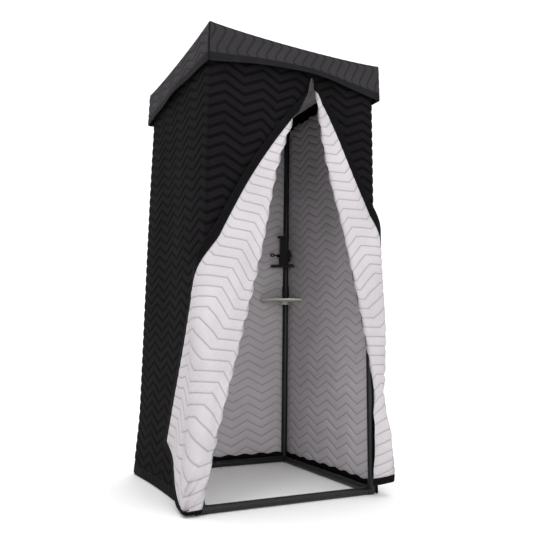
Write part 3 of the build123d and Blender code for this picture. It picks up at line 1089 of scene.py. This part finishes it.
        # On the closed door the folded cloth's outward direction is its mirror image in the fold.
        mirrored = (2 * self.run[0] ** 2 - 1.0, 2 * self.run[0] * self.run[1])
        grow = (self.sign * mirrored[0], mirrored[1])
        reach = self.split - self.foot - self.roll_width * self.across[0]
        return (self.sign * self.foot + grow[0] * reach, self.foot_z + grow[1] * reach), grow

    def cut_fold(self, shift: float, flap: bool) -> Cut:
        """A cut along the fold, moved across it, that keeps the flap or the wall."""
        arrow = (self.sign * self.across[0], self.across[1])
        point = (self.sign * self.foot + arrow[0] * shift, self.foot_z + arrow[1] * shift)
        return Cut(point, arrow if flap else (-arrow[0], -arrow[1]), 0.3, 0.05)

    def overlap(self, z: Array) -> Array:
        """How far the free edge reaches past the slit of the closed door, at a height."""
        heights, reaches = zip(*sorted(self.edge))
        spread = (-0.12, -0.06, 0.0, 0.06, 0.12)
        soft = sum(np.interp(z + step, heights, reaches) for step in spread) / len(spread)
        return soft * smooth(self.apex_z - z, 0.0, 0.12)

    def edge_cuts(self, inset: float) -> list[Cut]:
        """Straight cuts along the free edge, moved in from it.

        Args:
            inset: how far they are moved in.

        Returns:
            One cut for each straight run of the edge.
        """
        slit = self.apex_x + self.sign * self.slit_gap
        found = []
        for (high, first), (low, second) in zip(self.edge, self.edge[1:]):
            run = (-self.sign * (second - first), low - high)
            inward = (-self.sign * run[1], self.sign * run[0])
            length = math.hypot(*inward)
            inward = (inward[0] / length, inward[1] / length)
            point = (slit - self.sign * first + inward[0] * inset, high + inward[1] * inset)
            found.append(Cut(point, inward))
        return found

    def cuts(self, tip: bool) -> list[Cut]:
        """The cuts that the cloth over the wall, or the cloth round the post, needs."""
        point, grow = self.to_q()
        top_s = self.length - 0.012
        top = (self.sign * (self.foot + self.run[0] * top_s), self.foot_z + self.run[1] * top_s)
        down = (-self.sign * self.run[0], -self.run[1])
        if tip:
            return [self.cut_fold(self.roll_width * 0.55, True), Cut(point, grow)]
        return [self.cut_fold(-self.lap, True), Cut(point, (-grow[0], -grow[1])), Cut(top, down)]

    def fixed(self) -> bpy.types.Object:
        """The front wall between its post, the slit and the fold."""
        slit = self.apex_x + self.sign * self.seam_gap
        post = self.sign * self.cover.width / 2
        low, high = sorted((slit, post))
        bottom = self.foot_z - 0.02
        flat = self.cover.quilting.grid((low, bottom), (high, self.cover.top))
        fold = self.cut_fold(0.0, False)
        trim(flat, fold)
        quilting = self.cover.quilting
        cloth = Cloth(flat, self.surface, quilting.pinched([fold]), quilting.rows)
        finishes = self.cover.finishes
        piece = cloth.make(f"front_{self.name}_cloth", finishes.cover, finishes.lining, finishes.tape)
        settle(piece, "booth", "cover_quilt", f"front_{self.name}_wall")
        width, height = high - low, self.cover.top - bottom
        flat_area = (self.cover.top - self.apex_z) * width + (self.apex_z - self.foot_z) * width / 2
        return piece

    def flap(self) -> None:
        """The moving cloth with its binding, in two parts."""
        finishes = self.cover.finishes
        quilting = replace(self.cover.quilting, start=self.row_start)
        slit = self.apex_x + self.sign * self.slit_gap
        post = self.sign * (self.foot + 0.02)
        widest = max(reach for _, reach in self.edge)
        low, high = sorted((slit - self.sign * widest, post))
        tape_low, tape_high = sorted((slit, slit + self.sign * self.tape_width))
        hem_top = self.flap_bottom + self.tape_width
        own_post = Cut((self.sign * (self.foot - self.slit_gap), 0.0), (-self.sign, 0.0))
        for tip in (False, True):
            part = f"{self.name}_flap_tip" if tip else f"{self.name}_flap"
            flat = quilting.grid((low, hem_top), (high, self.apex_z))
            sewn = [*self.edge_cuts(self.tape_width * 0.8), Cut((0.0, hem_top), (0.0, 1.0))]
            for cut in (*self.cuts(tip), *sewn, own_post):
                trim(flat, cut)
            area = sum(cell.calc_area() for cell in flat.faces)
            puffed = quilting.pinched([*sewn, self.cut_fold(self.roll_width / 2, True)])
            cloth = Cloth(flat, self.surface, puffed, quilting.rows)
            piece = cloth.make(f"{part}_cloth", finishes.cover, finishes.lining, finishes.tape)
            tapes = [
                self.tape(f"{part}_edge", (tape_low, self.flap_bottom), (tape_high, self.apex_z), tip, True)
            ]
            if tip:
                tapes.append(
                    self.tape(f"{part}_hem", (low, self.flap_bottom), (high, hem_top), tip, False)
                )
            for made in (piece, *tapes):
                self.bend(made, tip)
            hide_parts(part)
            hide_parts(f"{part}_binding")

    def tape(self, name: str, low: Pair, high: Pair, tip: bool,
             upright: bool) -> bpy.types.Object:
        """A binding tape over one free edge of the flap.

        Args:
            name: the tape's name.
            low: its lowest corner on the closed door.
            high: its highest corner.
            tip: whether it is on the part round the post.
            upright: whether its length runs up the closed door.

        Returns:
            The tape.
        """
        flat = even_grid(low, high, TAPE_CELL[::-1] if upright else TAPE_CELL)
        own_post = Cut((self.sign * (self.foot - self.slit_gap), 0.0), (-self.sign, 0.0))
        for cut in (*self.cuts(tip), *(() if upright else (*self.edge_cuts(0.0), own_post))):
            trim(flat, cut)

        def across(u: Array, v: Array) -> Array:
            """The length in from the free edge."""
            if not upright:
                return v - low[1]
            return u - low[0] if self.sign > 0 else high[0] - u

        def half(u: Array, v: Array) -> Array:
            """The tape is round where it folds over the edge."""
            share = np.clip(across(u, v) / self.tape_width, 0.0, 1.0)
            puff = 0.0006 * np.abs(np.sin((v if upright else u) * math.pi / self.cover.quilting.pitch))
            return (self.tape_half + puff) * rounded(share, 0.14)

        def place(u: Array, v: Array) -> Array:
            """The upright tape follows the free edge past the slit."""
            return self.surface(u - self.sign * self.overlap(v), v) if upright else self.surface(u, v)

        def rows(u: Array, v: Array) -> Array:
            """Along and across the tape."""
            return np.column_stack([v if upright else u, across(u, v)])

        return Cloth(flat, place, half, rows).make(name, *[self.cover.finishes.tape] * 3)

    def bend(self, piece: bpy.types.Object, tip: bool) -> None:
        """Bakes a piece's placement into its mesh; the two ends of its joint are worked out but not used."""
        if tip:
            start = (self.sign * self.split, -self.folded, 0.0)
            end = (self.sign * self.folded, -self.split, 0.0)
        else:
            start = (0.0, -self.cover.plane - 0.002, 0.0)
            end = (0.0, -self.folded + 0.002, 0.0)
        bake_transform(piece)


# ---------------------------------------------------------------- the roof cap
@dataclass
class RoofCap:
    """The slip-on cap: a quilted top and four skirts, with taped hems and piped edges."""

    finishes: Finishes
    hem_width: float = 0.038
    hem_half: float = 0.0046
    hem_tuck: float = 0.002
    sag: float = 0.016
    peak: float = 0.004
    lift: float = 0.042
    flare: float = 0.030
    piping_radius: float = 0.0042
    piping_round: float = 0.026
    puff: float = 0.0048
    stitched: float = 0.0018
    edge_sag: float = 0.8
    middle_sag: float = 1.1

    def __post_init__(self) -> None:
        """Reads the cap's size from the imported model."""
        low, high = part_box("roof_panel")
        self.top = (low.z + high.z) / 2
        front_low, front_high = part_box("front_skirt")
        self.plane = -(front_low.y + front_high.y) / 2
        self.bottom = front_low.z
        self.height = self.top - self.bottom

    def rim(self, along: Array) -> Array:
        """The height of the cap's top edge along one side."""
        share = np.clip(np.abs(along) / self.plane, 0.0, 1.0)
        return self.top + self.peak * share**6 - self.sag * (1.0 - share**2) * self.edge_sag

    def top_surface(self, x: Array, y: Array) -> Array:
        """The top panel, low in the middle and drawn up at its four corners."""
        sx, sy = np.clip(np.abs(x) / self.plane, 0, 1), np.clip(np.abs(y) / self.plane, 0, 1)
        edge = self.rim(np.where(sx > sy, y, x))
        inward = 1.0 - np.maximum(sx, sy)
        middle = self.top - self.sag * self.middle_sag
        z = edge * (1.0 - smooth(inward, 0.0, 0.5)) + middle * smooth(inward, 0.0, 0.5)
        z = z + 0.003 * np.sin(x * 13.0 + 1.0) * np.sin(y * 11.0) * smooth(inward, 0.0, 0.3)
        return np.column_stack([x, y, z])

    def skirt_surface(self, side: Side) -> Surface:
        """The middle of one skirt's cloth.

        Args:
            side: the side of the booth.

        Returns:
            The place of a point from its length along the side and its height when hung straight.
        """
        loose = {Side.FRONT: 1.0, Side.LEFT: 0.35, Side.RIGHT: 0.5, Side.BACK: 0.7}[side]
        phase = {Side.FRONT: 0.0, Side.LEFT: 1.3, Side.RIGHT: 2.2, Side.BACK: 3.0}[side]

        def place(along: Array, height: Array) -> Array:
            """The point itself."""
            down = np.clip((self.top - height) / self.height, 0.0, 1.2)
            middle = np.cos(np.clip(along / self.plane, -1.0, 1.0) * math.pi / 2) ** 1.2
            rim = self.rim(along)
            length = rim - self.bottom - self.lift * loose * middle
            wave = 0.004 * np.sin(along * 15.0 + phase) * middle**0.5
            out = self.plane + down**1.3 * (self.flare * loose * middle + 0.004) + wave * down
            z = rim - down * length
            return side.at(along, out, z)

        return place

    def panel(self) -> None:
        """Makes the top panel."""
        quilting = Quilting(upright=True, puff=self.puff, stitched=self.stitched)
        half = self.plane + 0.001
        flat = quilting.grid((-half, -half), (half, half))
        cloth = Cloth(flat, self.top_surface, quilting.half, quilting.rows)
        piece = cloth.make("roof_cloth", self.finishes.roof, self.finishes.lining, self.finishes.roof_tape)
        settle(piece, "roof_cap", "roof_quilt", "roof_panel")

    def skirt(self, side: Side) -> None:
        """Makes one skirt with its hem.

        Args:
            side: the side of the booth.
        """
        name = side.value[0]
        upright = side in (Side.FRONT, Side.BACK)
        finishes = self.finishes
        quilting = Quilting(upright=upright, puff=self.puff, stitched=self.stitched)
        half = self.plane
        hem_top = self.bottom + self.hem_width
        surface = self.skirt_surface(side)
        flat = quilting.grid((-half, hem_top), (half, self.top))
        half_thick = quilting.pinched([Cut((0.0, hem_top), (0.0, 1.0))])
        cloth = Cloth(flat, surface, half_thick, quilting.rows)
        piece = cloth.make(f"{name}_skirt_cloth", finishes.roof, finishes.lining, finishes.roof_tape)
        settle(piece, "roof_cap", "roof_quilt", f"{name}_skirt")
        flat = even_grid((-half, self.bottom), (half, hem_top + self.hem_tuck))

        def hem_half(u: Array, v: Array) -> Array:
            """The hem is folded under, round at the bottom."""
            share = np.clip((v - self.bottom) / self.hem_width, 0.0, 1.0)
            ripple = 0.0007 * np.sin(u * 128.0) * share
            return self.hem_half * rounded(share, 0.12) + ripple

        hem = Cloth(flat, surface, hem_half, plain_rows(self.bottom)).make(
            f"{name}_skirt_hem", *[finishes.roof_tape] * 3
        )
        settle(hem, "roof_cap", "roof_quilt")

    def piping(self) -> None:
        """Makes the round piping along the top edges and down the corner seams."""
        top_steps, corner_steps, proud = 28, 12, 0.001
        for side in Side:
            name = side.value[0]
            alongs = np.linspace(-self.plane, self.plane, top_steps)
            points = side.at(alongs, np.full(top_steps, self.plane + proud), self.rim(alongs) + proud)
            settle(self.pipe(f"{name}_top_piping", points), "roof_cap", "roof_quilt")
            heights = np.linspace(self.bottom + self.hem_tuck, self.top, corner_steps)
            corner = self.skirt_surface(side)(np.full(corner_steps, self.plane), heights)
            settle(self.pipe(f"{name}_corner_piping", corner), "roof_cap", "roof_quilt")

    def pipe(self, name: str, points: Array) -> bpy.types.Object:
        """One run of piping.

        Args:
            name: its name.
            points: the points that it follows.

        Returns:
            The piping.
        """
        sides = 10
        directions = np.gradient(points, axis=0)
        directions /= np.linalg.norm(directions, axis=1, keepdims=True)
        vertices: list[Array] = []
        for point, way in zip(points, directions):
            first = np.cross(way, (0.31, 0.27, 0.91) if abs(way[2]) < 0.9 else (1.0, 0.2, 0.0))
            first /= np.linalg.norm(first)
            second = np.cross(way, first)
            for i in range(sides):
                angle = math.tau * i / sides
                spoke = math.cos(angle) * first + math.sin(angle) * second
                vertices.append(point + self.piping_radius * spoke)
        faces = [
            [ring + i, ring + (i + 1) % sides, ring + sides + (i + 1) % sides, ring + sides + i]
            for ring in range(0, (len(points) - 1) * sides, sides)
            for i in range(sides)
        ]
        last = (len(points) - 1) * sides
        faces += [list(range(sides))[::-1], [last + i for i in range(sides)]]
        mesh = bpy.data.meshes.new(name)
        mesh.from_pydata([v.tolist() for v in vertices], [], faces)
        lengths = np.concatenate([[0.0], np.cumsum(np.linalg.norm(np.diff(points, axis=0), axis=1))])
        for layer in ("cloth", "quilt"):
            uv = mesh.uv_layers.new(name=layer)
            for loop in mesh.loops:
                ring, turn = divmod(loop.vertex_index, sides)
                uv.data[loop.index].uv = (lengths[ring], turn / sides * self.piping_round)
        mesh.materials.append(self.finishes.roof_tape)
        mesh.polygons.foreach_set("use_smooth", [True] * len(mesh.polygons))
        return link(name, mesh)

    def build(self) -> None:
        """Makes the whole cap."""
        self.panel()
        for side in Side:
            self.skirt(side)
        self.piping()


# ---------------------------------------------------------------- hard parts
@dataclass
class HardParts:
    """The CAD nodes that are shown as they are, with their finishes."""

    finishes: Finishes

    def finish_of(self, node: str) -> bpy.types.Material:
        """The finish of one node."""
        rules: list[tuple[tuple[str, ...], bpy.types.Material]] = [
            (("holder_liner",), self.finishes.rubber),
            (("holder_pin", "holder_screw"), self.finishes.hardware),
            (("holder",), self.finishes.holder),
            (("shelf_board",), self.finishes.board),
            (("shelf",), self.finishes.collar),
            (("connector", "coupling"), self.finishes.fitting),
        ]
        for words, finish in rules:
            if any(word in node for word in words):
                return finish
        return self.finishes.tube

    def dress(self, nodes: dict[str, bpy.types.Object]) -> None:
        """Gives every node that still shows its finish.

        Args:
            nodes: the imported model's nodes by name.
        """
        for name, node in nodes.items():
            if not node.hide_render:
                node.data.materials.clear()
                node.data.materials.append(self.finish_of(name))
        logging.info("%d hard parts dressed", sum(not node.hide_render for node in nodes.values()))


# ---------------------------------------------------------------- studio
@dataclass
class Studio:
    """The floor, the lights and the camera."""

    finishes: Finishes
    camera_place: tuple[float, float, float] = (-1.36587, -2.83473, 0.67830)
    yaw: float = 27.101
    pitch: float = 10.184
    roll: float = 0.824
    lens: float = 40.49
    shift: Pair = (-0.0042, -0.0553)

    def floor(self) -> None:
        """Lays the floor."""
        bpy.ops.mesh.primitive_grid_add(x_subdivisions=8, y_subdivisions=8, size=160.0)
        floor = bpy.context.object
        floor.name = "studio_floor"
        floor.data.materials.append(self.finishes.floor)

    def camera(self) -> None:
        """Stands the camera before the booth's front left corner, looking up at it."""
        yaw, pitch, roll = (math.radians(a) for a in (self.yaw, self.pitch, self.roll))
        forward = Vector(
            (math.sin(yaw) * math.cos(pitch), math.cos(yaw) * math.cos(pitch), math.sin(pitch))
        )
        right = Vector((math.cos(yaw), -math.sin(yaw), 0.0))
        up = right.cross(forward)
        tilted_right = right * math.cos(roll) + up * math.sin(roll)
        tilted_up = up * math.cos(roll) - right * math.sin(roll)
        data = bpy.data.cameras.new("camera")
        data.lens, data.sensor_width = self.lens, 36.0
        data.shift_x, data.shift_y = self.shift
        made = bpy.data.objects.new("camera", data)
        turned = Matrix((tilted_right, tilted_up, -forward)).transposed().to_4x4()
        made.matrix_world = Matrix.Translation(self.camera_place) @ turned
        bpy.context.scene.collection.objects.link(made)
        bpy.context.scene.camera = made

    def lamp(self, name: str, place: tuple[float, float, float], size: float, power: float) -> None:
        """Hangs one soft light that faces the booth.

        Args:
            name: the light's name.
            place: where it hangs.
            size: the side of its square.
            power: its power in watts.
        """
        data = bpy.data.lights.new(name, "AREA")
        data.energy, data.size = power, size
        made = bpy.data.objects.new(name, data)
        made.location = place
        aim = Vector((0.0, 0.0, 1.0)) - Vector(place)
        made.rotation_euler = aim.to_track_quat("-Z", "Y").to_euler()
        bpy.context.scene.collection.objects.link(made)

    def light(self) -> None:
        """Sets the pale surroundings and the soft lights."""
        world = bpy.data.worlds.new("studio_air")
        world.use_nodes = True
        background = world.node_tree.nodes["Background"]
        background.inputs["Color"].default_value = (1.0, 1.0, 1.0, 1.0)
        background.inputs["Strength"].default_value = 1.18
        bpy.context.scene.world = world
        bpy.context.scene.view_settings.view_transform = "Standard"
        self.lamp("key_light", (-2.6, -2.6, 4.8), 1.2, 34.0)
        self.lamp("fill_light", (-0.6, -3.4, 1.5), 1.6, 26.0)
        self.lamp("rim_light", (1.0, 3.4, 3.6), 2.0, 50.0)

    def build(self) -> None:
        """Sets up the whole studio."""
        self.floor()
        self.camera()
        self.light()


def main() -> None:
    """Builds the booth's looks in order and reports each piece."""
    logging.basicConfig(level=logging.INFO, format="%(message)s")
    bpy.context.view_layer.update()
    finishes = Finishes()
    cover = Cover(finishes)
    cover.sleeves()
    cover.walls()
    left = DoorFlap(
        cover, "left", -1, foot_z=0.035,
        bow=0.024, bow_high=0.044, shear=0.0, drop=0.05, foot_drop=0.07,
        billow=0.018, flare=0.034, foot_flare=(0.03, 0.26), behind=0.002, row_start=0.048,
        edge=((1.985, 0.0), (1.5, 0.012), (1.2, 0.03), (0.8, 0.026), (0.0, 0.0)),
    )
    right = DoorFlap(
        cover, "right", 1, foot_z=0.432,
        bow=0.006, bow_high=-0.027, shear=0.56, drop=0.03, foot_drop=0.034,
        billow=0.006, flare=0.036, foot_flare=(0.14, 0.42), behind=0.013, row_start=0.0,
        edge=((1.985, 0.0), (1.9, 0.04), (1.75, 0.066), (1.6, 0.068), (1.35, 0.058), (0.0, 0.0)),
    )
    for half_door in (left, right):
        half_door.fixed()
        half_door.flap()
    RoofCap(finishes).build()
    HardParts(finishes).dress(frame["nodes"])
    Studio(finishes).build()


if __name__ == "__main__":
    main()
